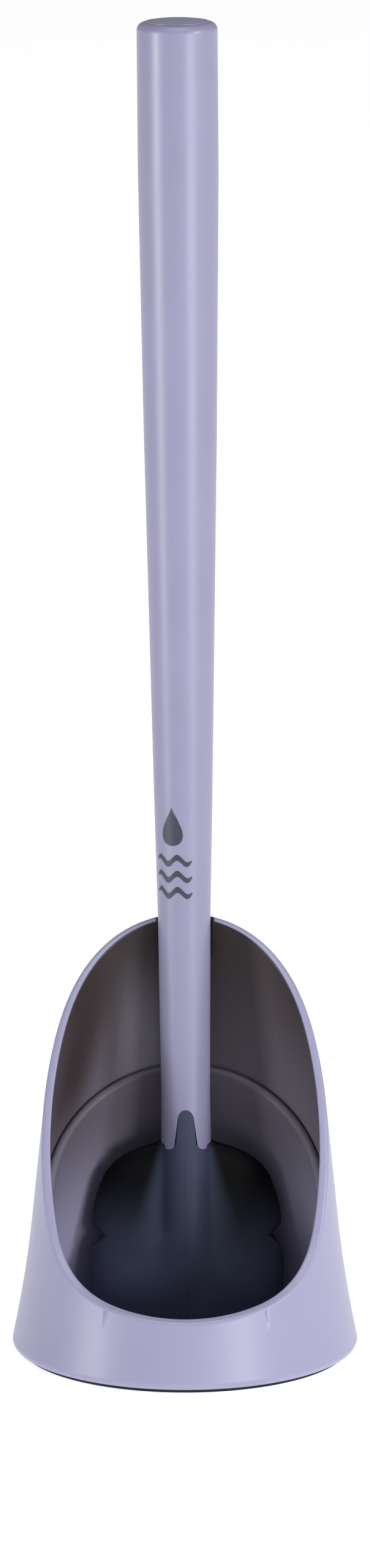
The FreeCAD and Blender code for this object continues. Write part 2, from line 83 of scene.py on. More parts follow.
class Node(Enum):
    """The names of the frame's solid pieces."""

    CUP = "drip_cup"
    RING = "non_slip_ring"
    SHELL = "holder_shell"
    TUBE = "handle_tube"
    CAP = "handle_end_cap"
    CORE = "head_core"
    PIN = "core_pin"
    HEAD = "plunger_head"


def tint(red: Number, green: Number, blue: Number) -> Colour:
    """Turns a display colour of 0 to 255 into the linear one that shaders use.

    Args:
        red: Red on the display.
        green: Green on the display.
        blue: Blue on the display.

    Returns:
        The linear colour.
    """
    shares = (channel / 255.0 for channel in (red, green, blue))
    return tuple(s / 12.92 if s <= 0.04045 else ((s + 0.055) / 1.055) ** 2.4 for s in shares)


# ---------------------------------------------------------------- shader maths


class Signal:
    """A number that varies over a surface, joined to others with ordinary arithmetic."""

    def __init__(self, board: "Board", socket: bpy.types.NodeSocket) -> None:
        """Wraps a socket.

        Args:
            board: The material the socket belongs to.
            socket: The output that carries the number.
        """
        self.board = board
        self.socket = socket

    def _maths(self, operation: str, *operands: "Signal | Number") -> "Signal":
        """Adds one Math node.

        Args:
            operation: The node's operation.
            operands: Its inputs in order.

        Returns:
            The node's result.
        """
        inputs = {place: operand for place, operand in enumerate(operands)}
        made = self.board.node("ShaderNodeMath", {"operation": operation}, inputs)
        return Signal(self.board, made.outputs[0])

    def __add__(self, other: "Signal | Number") -> "Signal":
        """Sum."""
        return self._maths("ADD", self, other)

    __radd__ = __add__

    def __sub__(self, other: "Signal | Number") -> "Signal":
        """Difference."""
        return self._maths("SUBTRACT", self, other)

    def __rsub__(self, other: Number) -> "Signal":
        """Difference, the other way round."""
        return self._maths("SUBTRACT", other, self)

    def __mul__(self, other: "Signal | Number") -> "Signal":
        """Product."""
        return self._maths("MULTIPLY", self, other)

    __rmul__ = __mul__

    def __truediv__(self, other: "Signal | Number") -> "Signal":
        """Quotient."""
        return self._maths("DIVIDE", self, other)

    def sine(self) -> "Signal":
        """The sine of the number in radians."""
        return self._maths("SINE", self)

    def root(self) -> "Signal":
        """The square root."""
        return self._maths("SQRT", self)

    def size(self) -> "Signal":
        """The number without its sign."""
        return self._maths("ABSOLUTE", self)

    def smooth(self, start: Number, end: Number) -> "Signal":
        """A soft step.

        Args:
            start: The number at which the step is still 0.
            end: The number from which the step is 1.

        Returns:
            The step, from 0 to 1.
        """
        made = self.board.node(
            "ShaderNodeMapRange",
            {"interpolation_type": "SMOOTHSTEP"},
            {"Value": self, "From Min": start, "From Max": end},
        )
        return Signal(self.board, made.outputs[0])


class Board:
    """The node tree of one material, and the ways in which finishes add to it."""

    def __init__(self, name: str) -> None:
        """Starts an empty material.

        Args:
            name: The material's name.
        """
        self.material = bpy.data.materials.new(name)
        self.material.use_nodes = True
        self.tree = self.material.node_tree
        self.tree.nodes.clear()
        self.place = self.node("ShaderNodeTexCoord").outputs["Object"]

    def node(
        self,
        kind: str,
        settings: dict[str, Any] | None = None,
        inputs: dict[str | int, Any] | None = None,
    ) -> bpy.types.Node:
        """Adds a node, sets it, and then fills or links its sockets.

        Args:
            kind: The node's type.
            settings: The node's own settings.
            inputs: What goes to its sockets, by name or number: a value, a socket or a signal.

        Returns:
            The new node.
        """
        made = self.tree.nodes.new(kind)
        for name, setting in (settings or {}).items():
            setattr(made, name, setting)
        for name, source in (inputs or {}).items():
            if isinstance(source, Signal):
                source = source.socket
            if isinstance(source, bpy.types.NodeSocket):
                self.tree.links.new(source, made.inputs[name])
            else:
                made.inputs[name].default_value = source
        return made

    def axes(self) -> tuple[Signal, Signal, Signal]:
        """The place on the object, as its three coordinates in metres."""
        split = self.node("ShaderNodeSeparateXYZ", None, {0: self.place})
        return tuple(Signal(self, output) for output in split.outputs)

    def noise(self, scale: float, detail: float = 3.0, stretch: Triple = (1.0, 1.0, 1.0)) -> Signal:
        """Soft random variation between 0 and 1, with its mean at a half.

        Args:
            scale: Waves per metre.
            detail: Number of finer layers.
            stretch: How much denser it is along each axis.

        Returns:
            The variation.
        """
        moved = self.node("ShaderNodeMapping", None, {"Vector": self.place, "Scale": stretch})
        made = self.node(
            "ShaderNodeTexNoise",
            {"noise_dimensions": "3D"},
            {"Vector": moved.outputs[0], "Scale": scale, "Detail": detail},
        )
        return Signal(self, made.outputs[0])

    def blend(self, share: Signal, first: Any, second: Any) -> bpy.types.NodeSocket:
        """Mixes two colours.

        Args:
            share: Share of the second colour.
            first: Colour or socket where the share is 0.
            second: Colour or socket where the share is 1.

        Returns:
            The mixed colour.
        """
        inputs = {"Factor": share}
        for place, colour in ((6, first), (7, second)):
            inputs[place] = (*colour, 1.0) if isinstance(colour, tuple) else colour
        return self.node("ShaderNodeMix", {"data_type": "RGBA"}, inputs).outputs[2]

    def relief(self, height: Signal, depth: float, under: Any = None) -> bpy.types.NodeSocket:
        """Turns a height into a bumped normal.

        Args:
            height: Height from 0 to 1.
            depth: Depth in metres that 1 stands for.
            under: A coarser relief that this one lies on.

        Returns:
            The normal.
        """
        inputs = {"Height": height, "Distance": depth, "Strength": 1.0}
        if under is not None:
            inputs["Normal"] = under
        return self.node("ShaderNodeBump", None, inputs).outputs[0]

    def finish(self, fixed: dict[str, Any], varying: dict[str, Any]) -> bpy.types.Material:
        """Closes the material with one shader.

        Args:
            fixed: Sockets that are the same all over.
            varying: Sockets that a signal or colour drives.

        Returns:
            The finished material.
        """
        shader = self.node("ShaderNodeBsdfPrincipled", None, {**fixed, **varying})
        self.node("ShaderNodeOutputMaterial", None, {"Surface": shader.outputs[0]})
        return self.material


# ---------------------------------------------------------------- finishes

# Painted light: the colour of the paler strip beside the handle on the shell's inner face.
PAINTED_LIGHT_GREY = tint(176, 172, 190)


@dataclass(frozen=True)
class InnerShade:
    """Painted shade on the inner face of a conical wall, told from the outer one by its radius.

    The outer radius falls in a straight line with height, and swells below the flare's height with the
    square of the distance to it. Behind the handle the recess leaves a thinner wall, so a smaller depth
    tells the inner face there. A painted shadow of the handle, as a slanted dark band, and a painted
    strip of light beside the handle lie on it, each with its share of the colour, and 0 leaves it out.
    Sizes are in metres.
    """

    low: Colour
    high: Colour
    low_height: float = 0.060
    high_height: float = 0.150
    flare_height: float = 0.0515
    flare_radius: float = 0.05767
    slope: float = 0.104
    flare_arc: float = 0.441
    depth: float = 0.0030
    edge: float = 0.0003
    recess_half: float = 0.0110
    recess_depth: float = 0.0004
    shadow: float = 0.0
    shadow_side: float = 0.0455
    shadow_height: float = 0.085
    shadow_lean: float = 0.24
    shadow_width: Pair = (0.001, 0.011)
    shadow_start: Pair = (0.060, 0.100)
    painted_light: float = 0.0
    painted_light_side: float = 0.015
    painted_light_width: Pair = (0.002, 0.014)
    painted_light_end: Pair = (0.105, 0.150)

    def inside(self, board: "Board") -> Signal:
        """How far a place belongs to the inner face.

        Args:
            board: The material.

        Returns:
            1 on the inner face and 0 on the rim and outside.
        """
        across, along, up = board.axes()
        radius = (across * across + along * along).root()
        below = self.flare_height - up
        swell = (below + below.size()) * 0.5
        outer = below * self.slope + self.flare_radius + swell * swell / (2.0 * self.flare_arc)
        under = outer - radius
        wall = under.smooth(self.depth, self.depth + self.edge)
        recess = under.smooth(self.recess_depth, self.recess_depth + self.edge)
        beside = across.size().smooth(self.recess_half, self.recess_half + self.edge)
        behind = (1.0 - beside) * along.smooth(0.0, MILLI)
        return 1.0 - (1.0 - wall) * (1.0 - recess * behind)

    def paint(self, board: "Board") -> bpy.types.NodeSocket:
        """The painted shade of the inner face, darker and warmer towards the top, with its painted shadow
        band and painted light strip.

        Args:
            board: The material.

        Returns:
            The colour.
        """
        across, _, up = board.axes()
        # Painted shade: the inner face gets darker and warmer towards the top.
        colour = board.blend(up.smooth(self.low_height, self.high_height), self.low, self.high)
        # Painted shadow of the handle: a slanted dark band in the inner face's darkest colour.
        middle = (up - self.shadow_height) * self.shadow_lean - self.shadow_side
        shadow_band = 1.0 - (across - middle).size().smooth(*self.shadow_width)
        colour = board.blend(shadow_band * up.smooth(*self.shadow_start) * self.shadow, colour, self.high)
        # Painted light: a paler strip beside the handle, fading out towards the top.
        light_strip = 1.0 - (across + self.painted_light_side).size().smooth(*self.painted_light_width)
        return board.blend(light_strip * (1.0 - up.smooth(*self.painted_light_end)) * self.painted_light, colour, PAINTED_LIGHT_GREY)


@dataclass(frozen=True)
class SatinPlastic:
    """Moulded satin plastic: even colour with faint flow clouding, spark-eroded grain and fine rubs."""

    name: str
    colour: Colour
    cloud: float = 0.02
    cloud_scale: float = 30.0
    cloud_depth: float = 0.000008
    rub_scale: float = 260.0
    grain_scale: float = 1900.0
    grain_depth: float = 0.000012
    roughness: float = 0.40
    inner_shade: InnerShade | None = None

    def make(self) -> bpy.types.Material:
        """Builds the material.

        Returns:
            The material.
        """
        board = Board(self.name)
        clouds = board.noise(self.cloud_scale, 2.0)
        rubs = board.noise(self.rub_scale, 2.0, (1.0, 1.0, 0.12)).smooth(0.58, 0.80)
        grain = board.noise(self.grain_scale, 2.0)
        pale = tuple(channel * (1.0 + self.cloud) for channel in self.colour)
        deep = tuple(channel * (1.0 - self.cloud) for channel in self.colour)
        colour = board.blend(clouds.smooth(0.25, 0.75), deep, pale)
        roughness = self.roughness + (clouds - 0.5) * 0.06 + rubs * 0.05
        # Painted shade, and on the shell a painted shadow and a painted strip of light, on the inner face.
        if self.inner_shade is not None:
            inside = self.inner_shade.inside(board)
            colour = board.blend(inside, colour, self.inner_shade.paint(board))
            roughness = roughness + inside * 0.12
        fixed = {"Specular IOR Level": 0.5, "IOR": 1.49}
        normal = board.relief(grain, self.grain_depth, board.relief(clouds, self.cloud_depth))
        return board.finish(fixed, {"Base Color": colour, "Roughness": roughness, "Normal": normal})


@dataclass(frozen=True)
class RidgeShading:
    """Painted light and shade on the head: its middle ridge painted paler as lit from the front, between
    flanks painted dark as shade, with the parting line down its middle.

    The parting line crosses the object at seam_side at height zero and runs to the left with height.
    The ridge's half width grows in a straight line below its neck. Sizes are in metres.
    """

    spine_light: Colour
    shade: Colour
    seam_side: float = 0.0009
    seam_lean: float = 0.00785
    seam_width: Pair = (0.00008, 0.00024)
    seam_top: float = 0.085
    seam_rise: float = 1.5
    neck_height: float = 0.072
    neck_half: float = 0.0065
    widening: float = 0.20
    fade: Pair = (0.7, 1.7)
    shade_start: Pair = (0.022, 0.060)
    spine_light_start: Pair = (0.030, 0.055)

    def paint(self, board: "Board", under: Any, bloom: Colour) -> tuple[bpy.types.NodeSocket, Signal]:
        """Adds the ridge's painted light, the flanks' painted shade and the parting line to a colour.

        Args:
            board: The material.
            under: The colour they lie on.
            bloom: Colour of the parting line.

        Returns:
            The new colour, and the height that the parting line adds.
        """
        across, _, up = board.axes()
        aside = (across + up * self.seam_lean - self.seam_side).size()
        half = (self.neck_height - up) * self.widening + self.neck_half
        flank = (aside / half).smooth(*self.fade)
        line = 1.0 - aside.smooth(*self.seam_width)
        # Painted shade on the flanks.
        colour = board.blend(flank * up.smooth(*self.shade_start), under, self.shade)
        # Painted light on the middle ridge.
        colour = board.blend((1.0 - flank) * up.smooth(*self.spine_light_start), colour, self.spine_light)
        colour = board.blend(line * up.smooth(0.0, self.seam_top) * 0.8, colour, bloom)
        return colour, line * self.seam_rise


@dataclass(frozen=True)
class MouldedRubber:
    """Dark moulded rubber: matt skin with a fine grain, slow waves or turned ribs, and faint bloom."""

    name: str
    colour: Colour
    bloom: Colour
    roughness: float = 0.46
    dust_scale: float = 55.0
    grain_scale: float = 2400.0
    grain_depth: float = 0.00002
    wave_scale: float = 60.0
    wave_depth: float = 0.00010
    ribs: bool = False
    rib_pitch: float = 0.0016
    rib_depth: float = 0.00025
    ridge: RidgeShading | None = None

    def make(self) -> bpy.types.Material:
        """Builds the material.

        Returns:
            The material.
        """
        board = Board(self.name)
        dust = board.noise(self.dust_scale, 5.0)
        grain = board.noise(self.grain_scale, 3.0)
        height, depth = board.noise(self.wave_scale, 1.0), self.wave_depth
        colour = board.blend(dust.smooth(0.45, 0.85) * 0.35, self.colour, self.bloom)
        # Painted light on the ridge and painted shade on the flanks, where the rubber has them.
        if self.ridge is not None:
            colour, rise = self.ridge.paint(board, colour, self.bloom)
            height = height + rise
        if self.ribs:
            across, along, _ = board.axes()
            radius = (across * across + along * along).root()
            height = (radius * (2.0 * math.pi / self.rib_pitch)).sine() * 0.5 + 0.5
            depth = self.rib_depth
        normal = board.relief(grain, self.grain_depth, board.relief(height, depth))
        roughness = self.roughness + (dust - 0.5) * 0.16
        fixed = {"Specular IOR Level": 0.13, "IOR": 1.5}
        return board.finish(fixed, {"Base Color": colour, "Roughness": roughness, "Normal": normal})


@dataclass(frozen=True)
class PrintedInk:
    """Thin screen-printed ink with a slightly broken edge tone."""

    name: str
    colour: Colour
    speckle_scale: float = 1400.0
    wear: float = 1.6

    def make(self) -> bpy.types.Material:
        """Builds the material.

        Returns:
            The material.
        """
        board = Board(self.name)
        speckle = board.noise(self.speckle_scale, 3.0)
        worn = tuple(channel * self.wear for channel in self.colour)
        colour = board.blend(speckle.smooth(0.45, 0.9), self.colour, worn)
        normal = board.relief(speckle, 0.000008)
        varying = {"Base Color": colour, "Roughness": 0.38 + speckle * 0.1, "Normal": normal}
        return board.finish({"IOR": 1.48}, varying)


@dataclass(frozen=True)
class BrushedSteel:
    """Drawn steel wire for the cross pin."""

    name: str
    colour: Colour
    line_scale: float = 3200.0
    dulling: float = 0.7

    def make(self) -> bpy.types.Material:
        """Builds the material.

        Returns:
            The material.
        """
        board = Board(self.name)
        lines = board.noise(self.line_scale, 2.0, (0.05, 1.0, 1.0))
        dull = tuple(channel * self.dulling for channel in self.colour)
        colour = board.blend(lines, dull, self.colour)
        normal = board.relief(lines, 0.00001)
        varying = {"Base Color": colour, "Roughness": 0.25 + lines * 0.2, "Normal": normal}
        return board.finish({"Metallic": 1.0}, varying)


# Painted shade on the shell's inner wall, darker and warmer towards the top, with a painted shadow of the
# handle and a painted strip of light beside it.
SHELL_INNER_SHADE = InnerShade(tint(100, 94, 106), tint(44, 34, 33), shadow=0.9, painted_light=0.35)
# Painted light and shade in the cup: lighter than the plastic at the bottom, darker towards the top.
CUP_INNER_SHADE = InnerShade(tint(156, 153, 180), tint(84, 79, 90), 0.018, 0.085, depth=-0.01)

SHELL_PLASTIC = SatinPlastic("shell_plastic", tint(141, 140, 169), roughness=0.38, inner_shade=SHELL_INNER_SHADE)
CUP_PLASTIC = SatinPlastic("cup_plastic", tint(141, 140, 169), roughness=0.42, inner_shade=CUP_INNER_SHADE)
HANDLE_PLASTIC = SatinPlastic("handle_plastic", tint(130, 128, 156), roughness=0.36)
CAP_PLASTIC = SatinPlastic("cap_plastic", tint(134, 132, 160), roughness=0.30)
CORE_PLASTIC = SatinPlastic("core_plastic", tint(225, 224, 220), roughness=0.5)
PIN_STEEL = BrushedSteel("pin_steel", tint(200, 202, 206))
# The head's ridge is painted paler as lit and its flanks dark as shade.
HEAD_RUBBER = MouldedRubber(
    "head_rubber",
    tint(54, 59, 78),
    tint(78, 84, 108),
    roughness=0.52,
    ridge=RidgeShading(tint(60, 66, 86), tint(0, 1, 4)),
)
RING_RUBBER = MouldedRubber("ring_rubber", tint(34, 34, 38), tint(60, 60, 66), ribs=True)
MARK_INK = PrintedInk("mark_ink", tint(44, 44, 62))

Finish = SatinPlastic | MouldedRubber | BrushedSteel | PrintedInk


@cache
def material_of(finish: Finish) -> bpy.types.Material:
    """The finish's material, made once."""
    return finish.make()


# ---------------------------------------------------------------- surfaces


def surface(
    name: str,
    points: np.ndarray,
    wrap: bool = False,
    poles: tuple[bool, bool] = (False, False),
) -> bpy.types.Object:
    """Makes a mesh object from a grid of points.

    Faces join each point to the next along both parameters. With wrap, the columns close on
    themselves; with a pole, the first or the last row is closed by a fan to its middle.

    Args:
        name: The piece's name.
        points: Array of rows x columns x 3, in metres.
        wrap: Whether the last column joins the first.
        poles: Whether the first and the last row are closed.

    Returns:
        The new object.
    """
    rows, columns = points.shape[:2]
    index = np.arange(rows * columns).reshape(rows, columns)
    if wrap:
        index = np.concatenate([index, index[:, :1]], axis=1)
    quads = np.stack([index[:-1, :-1], index[:-1, 1:], index[1:, 1:], index[1:, :-1]], axis=-1)
    faces = quads.reshape(-1, 4).tolist()
    places = [points.reshape(-1, 3)]
    for wanted, ring, middle, order in (
        (poles[0], index[0], points[0].mean(axis=0), 1),
        (poles[1], index[-1], points[-1].mean(axis=0), -1),
    ):
        if wanted:
            pole = np.full(len(ring) - 1, sum(len(group) for group in places))
            fan = np.stack([ring[1:], ring[:-1], pole][::order], axis=-1)
            faces += fan.tolist()
            places.append(middle[None, :])
    mesh = bpy.data.meshes.new(name)
    mesh.from_pydata(np.concatenate(places).tolist(), [], faces)
    mesh.shade_smooth()
    made = bpy.data.objects.new(name, mesh)
    bpy.context.scene.collection.objects.link(made)
    return made


def blended_max(first: np.ndarray, second: np.ndarray, blend: float) -> np.ndarray:
    """The larger of two arrays, with the step between them rounded.

    The rounding is half the root of the squared difference plus the squared blend.

    Args:
        first: One array.
        second: The other.
        blend: Width of the rounding, in the arrays' unit.

    Returns:
        The rounded maximum.
    """
    return (first + second + np.sqrt((first - second) ** 2 + blend**2)) / 2.0


def blended_min(first: np.ndarray, second: np.ndarray, blend: float) -> np.ndarray:
    """The smaller of two arrays, with the step between them rounded."""
    return (first + second - np.sqrt((first - second) ** 2 + blend**2)) / 2.0


# ---------------------------------------------------------------- sub-assemblies


@dataclass
class Assembly:
    """A group of pieces that ride on one body."""

    frame: dict[str, Any]
    body: Body

    def dress(self, node: Node, finish: Finish) -> bpy.types.Object:
        """Gives a frame piece its finish.

        Args:
            node: The frame piece.
            finish: Its finish.

        Returns:
            The dressed object.
        """
        piece = self.frame["nodes"][node.value]
        material = material_of(finish)
        if piece.material_slots:
            for place in piece.material_slots:
                place.material = material
        else:
            piece.data.materials.append(material)
        LOG.info("dressed %s with %s", node.value, finish.name)
        return piece

    def add(self, piece: bpy.types.Object, finish: Finish, slot: str) -> bpy.types.Object:
        """Takes a new piece into the assembly.

        Args:
            piece: The piece.
            finish: Its finish.
            slot: Not used.

        Returns:
            The piece.
        """
        piece.data.materials.append(material_of(finish))
        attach(piece, self.body.value)
        LOG.info("made %s with %s", piece.name, finish.name)
        return piece


@dataclass
class Base(Assembly):
    """The drip cup and the ring it stands on."""

    def build(self) -> None:
        """Dresses the cup and the ring."""
        self.dress(Node.CUP, CUP_PLASTIC)
        self.dress(Node.RING, RING_RUBBER)


@dataclass
class Holder(Assembly):
    """The flared shell with its slanted opening."""

    def build(self) -> None:
        """Dresses the shell."""
        self.dress(Node.SHELL, SHELL_PLASTIC)


@dataclass
class Stance:
    """Where the plunger stands: its foot in metres, and its leans in degrees."""

    foot: tuple[float, float, float] = (0.0009, 0.0289, 0.0058)
    lean_back: float = 1.8
    lean_side: float = 0.45

    def place(self, points: np.ndarray) -> np.ndarray:
        """Carries points from the plunger's own upright frame to where it stands.

        Args:
            points: Array that ends in x, y, z, in millimetres.

        Returns:
            The array in metres, turned about the foot and moved.
        """
        angle = math.radians(math.hypot(self.lean_back, self.lean_side))
        turn = np.array(Matrix.Rotation(angle, 3, Vector((-self.lean_back, -self.lean_side, 0.0))))
        return points * MILLI @ turn.T + np.array(self.foot)


@dataclass
class RubberHead:
    """The notched rubber head, in millimetres, as one closed surface about the plunger's axis.

    Each level is the rounded union of a round ridge and a flat wing, cut by two side notches. Above
    the shoulder it turns into the tongue that fills the fork's slot; below it rolls over the lip into
    the cavity.
    """

    stance: Stance
    columns: int = 340
    body_rows: int = 150
    shoulder: float = 66.2
    levels: tuple[float, ...] = (
        0.0, 3.0, 8.0, 13.0, 18.5, 24.0, 30.0, 36.0, 44.0, 50.0, 55.5, 59.6, 62.6, 64.6, 66.2)
    wing_widths: tuple[float, ...] = (
        34.6, 35.7, 36.9, 37.1, 37.1, 37.0, 36.9, 36.5, 35.0, 33.1, 30.3, 26.2, 21.0, 15.4, 9.6)
    wing_depths: tuple[float, ...] = (
        15.4, 16.6, 17.2, 16.6, 14.8, 12.2, 9.6, 7.4, 5.6, 5.0, 4.8, 4.6, 4.4, 4.2, 4.0)
    ridge_widths: tuple[float, ...] = (
        30.0, 30.0, 28.0, 24.0, 19.0, 15.0, 12.4, 11.0, 10.2, 9.9, 9.7, 9.6, 9.5, 9.5, 9.5)
    ridge_depths: tuple[float, ...] = (
        15.6, 16.8, 17.6, 17.6, 16.9, 15.4, 13.8, 12.6, 11.3, 10.6, 10.2, 9.9, 9.75, 9.65, 9.62)
    wing_power: float = 2.3
    union_blend: float = 2.2
    union_trim: float = 0.5
    notch_height: float = 30.4
    notch_tip: float = 31.4
    notch_reach: float = 5.3
    notch_up: float = 4.0
    notch_down: float = 6.4
    notch_blend: float = 0.9
    notch_trim: float = 0.1
    lip_wall: float = 4.2
    lip_drop: float = 1.7
    cavity_top: float = 45.0
    cavity_rise: float = 3.5
    seat_height: float = 64.5
    slot_foot: float = 4.2
    slot_arch: float = 2.95
    slot_top: float = 77.4
    tongue_radius: float = 9.42
    tongue_blend: float = 0.35
    seat_width: float = 3.0
    crowding: float = 0.28

    def build(self) -> bpy.types.Object:
        """Makes the head.

        Returns:
            The head's object.
        """
        steps = np.linspace(0.0, 2.0 * np.pi, self.columns, endpoint=False)
        angle = steps + self.crowding * np.sin(2.0 * steps)
        parts = (self._cavity, self._lip, self._body, self._seat, self._tongue)
        rows = np.concatenate([part(angle) for part in parts])
        return surface("rubber_head", self.stance.place(rows), True, (True, True))

    def _ring(self, angle: np.ndarray, radius: np.ndarray, height: np.ndarray) -> np.ndarray:
        """Points at a radius and height for each row and angle."""
        height = np.broadcast_to(height, radius.shape)
        return np.stack([radius * np.cos(angle), radius * np.sin(angle), height], axis=-1)

    def _outline(self, angle: np.ndarray, height: np.ndarray) -> np.ndarray:
        """Radius of the outer skin.

        An ellipse's radius is one over the root of the squared cosine over the squared half width plus
        the squared sine over the squared half depth. The wing is a fuller curve, of a higher power.

        Args:
            angle: The columns' angles.
            height: The rows' heights.

        Returns:
            Array of rows x columns.
        """
        sizes = (self.wing_widths, self.wing_depths, self.ridge_widths, self.ridge_depths)
        widths = [smooth_through(self.levels, size, height)[:, None] for size in sizes]
        cosine, sine = np.abs(np.cos(angle)), np.abs(np.sin(angle))
        power = self.wing_power
        wing = ((cosine / widths[0]) ** power + (sine / widths[1]) ** power) ** (-1.0 / power)
        ridge = ((cosine / widths[2]) ** 2 + (sine / widths[3]) ** 2) ** -0.5
        skin = blended_max(wing, ridge, self.union_blend) - self.union_trim
        rise = height[:, None] - self.notch_height
        away = np.where(rise > 0.0, rise / self.notch_up, -rise / self.notch_down)
        notch = (self.notch_tip + self.notch_reach * away) / np.maximum(cosine, 0.2)
        return blended_min(skin, notch, self.notch_blend) + self.notch_trim

    def _body(self, angle: np.ndarray) -> np.ndarray:
        """The outer skin from the lip to the shoulder; its heights go as a sine, closer near the top.

        Args:
            angle: The columns' angles.

        Returns:
            Array of rows x columns x 3.
        """
        steps = np.linspace(0.04, 1.0, self.body_rows)
        height = self.shoulder * np.sin(steps * np.pi / 2.0)
        return self._ring(angle, self._outline(angle, height), height[:, None])

    def _lip(self, angle: np.ndarray) -> np.ndarray:
        """The rounded lip: half a turn from the cavity's wall under the rubber to the skin.

        Args:
            angle: The columns' angles.

        Returns:
            Array of rows x columns x 3.
        """
        turn = np.linspace(np.pi, 0.0, 14)[:, None]
        half = self.lip_wall / 2.0
        middle = self._outline(angle, np.array([self.shoulder * np.sin(0.02 * np.pi)])) - half
        return self._ring(angle, middle + half * np.cos(turn), half * self.lip_drop * (1.0 - np.sin(turn)))

    def _cavity(self, angle: np.ndarray) -> np.ndarray:
        """The cavity's wall from its closed top down to the lip; its width goes as a sine to the power 0.8.

        Args:
            angle: The columns' angles.

        Returns:
            Array of rows x columns x 3.
        """
        depth = np.linspace(0.04, 1.0, 26)
        height = self.cavity_top * (1.0 - depth)
        share = np.sin(depth * np.pi / 2.0) ** 0.8
        mouth = self._outline(angle, np.array([2.0])) - self.lip_wall
        return self._ring(angle, mouth * share[:, None], (height + self.cavity_rise * depth)[:, None])

    def _tongue_radius(self, angle: np.ndarray, height: np.ndarray) -> np.ndarray:
        """Radius of the tongue: the handle's round in front and behind, the slot's flat sides between.

        The half width shrinks in a straight line up to the arch, then as a half circle.

        Args:
            angle: The columns' angles.
            height: The rows' heights.

        Returns:
            Array of rows x columns.
        """
        share = np.clip((height - self.seat_height) / (self.slot_top - self.seat_height), 0.0, 1.0)
        half = self.slot_foot + (self.slot_arch - self.slot_foot) * share
        over = np.clip((height - self.slot_top) / self.slot_arch, 0.0, 0.995)
        half = half * np.sqrt(1.0 - over**2)
        flat = half / np.maximum(np.abs(np.cos(angle)), 1e-3)
        return blended_min(np.full_like(flat, self.tongue_radius), flat, self.tongue_blend)

    def _seat(self, angle: np.ndarray) -> np.ndarray:
        """The shoulder's seat under the fork's tips, which dips only beside the tongue.

        Args:
            angle: The columns' angles.

        Returns:
            Array of rows x columns x 3.
        """
        share = np.linspace(0.06, 1.0, 12)[:, None]
        start = self._outline(angle, np.array([self.shoulder]))
        end = self._tongue_radius(angle, np.full((1, 1), self.seat_height))
        beside = np.clip((start - end) / self.seat_width, 0.0, 1.0)
        radius = start + (end - start) * np.clip(share * 1.25 - 0.25, 0.0, 1.0)
        dip = (self.shoulder - self.seat_height) * beside * np.clip(share * 4.0, 0.0, 1.0)
        return self._ring(angle, radius, self.shoulder + 0.2 * share - dip)

    def _tongue(self, angle: np.ndarray) -> np.ndarray:
        """The tongue from the seat to the top of its arch; its heights go as a sine.

        Args:
            angle: The columns' angles.

        Returns:
            Array of rows x columns x 3.
        """
        start = self._outline(angle, np.array([self.shoulder]))
        end = self._tongue_radius(angle, np.full((1, 1), self.seat_height))
        beside = np.clip((start - end) / self.seat_width, 0.0, 1.0)
        foot = self.shoulder + 0.3 - (self.shoulder - self.seat_height) * beside
        top = self.slot_top + self.slot_arch
        share = np.sin(np.linspace(0.03, 1.0, 46) * np.pi / 2.0)[:, None]
        height = foot + (top - foot) * share
        return self._ring(angle, self._tongue_radius(angle, height), height)


@dataclass
class WaterMark:
    """A plain printed water sign on the handle, in millimetres: a drop over three ripples."""

    stance: Stance
    turn: float = -114.0
    lift: float = 0.045
    low_height: float = 151.0
    low_radius: float = 9.9
    slope: float = 0.02347
    drop_height: float = 190.0
    drop_half: float = 5.0
    drop_tall: float = 7.4
    ripple_heights: Triple = (176.8, 170.6, 164.4)
    ripple_half: float = 7.6
    ripple_thick: float = 2.3
    ripple_swing: float = 1.3

    def build(self) -> list[bpy.types.Object]:
        """Makes the printed shapes.

        Returns:
            One object for each shape.
        """
        shapes = [self._wrap("mark_drop", *self._drop())]
        for number, height in enumerate(self.ripple_heights, start=1):
            shapes.append(self._wrap(f"mark_ripple_{number}", *self._ripple(height)))
        return shapes

    def _wrap(self, name: str, across: np.ndarray, height: np.ndarray) -> bpy.types.Object:
        """Lays a flat shape on the handle's round.

        The angle is the distance across over the radius there.

        Args:
            name: The piece's name.
            across: Distances across, rows x columns.
            height: Heights on the handle.

        Returns:
            The shape's object.
        """
        radius = self.low_radius + (height - self.low_height) * self.slope
        angle = math.radians(self.turn) + across / radius
        outer = radius + self.lift
        points = np.stack([outer * np.cos(angle), outer * np.sin(angle), height], axis=-1)
        return surface(name, self.stance.place(points))

    def _drop(self) -> tuple[np.ndarray, np.ndarray]:
        """A drop: its width goes as the angle's sine times its half's sine to the power 1.6.

        Returns:
            Distances across and heights, from the middle row out to the edge row.
        """
        turn = np.linspace(0.0, 2.0 * np.pi, 73)[None, :]
        share = np.linspace(0.0, 1.0, 9)[:, None]
        wide = np.sin(turn) * np.sin(turn / 2.0) ** 1.6 * self.drop_half / 0.82
        return share * wide, self.drop_height + share * np.cos(turn) * self.drop_tall

    def _ripple(self, middle: float) -> tuple[np.ndarray, np.ndarray]:
        """A ripple: a sine of two waves, thinning at its ends as the root of 1 less the fourth power.

        Args:
            middle: Its height.

        Returns:
            Distances across and heights.
        """
        along = np.linspace(-1.0, 1.0, 81)[None, :]
        side = np.linspace(-0.5, 0.5, 5)[:, None]
        body = self.ripple_thick * np.sqrt(np.clip(1.0 - along**4, 0.0, 1.0))
        height = middle + self.ripple_swing * np.sin(2.0 * np.pi * along) + side * body
        return np.broadcast_to(along * self.ripple_half, height.shape), height


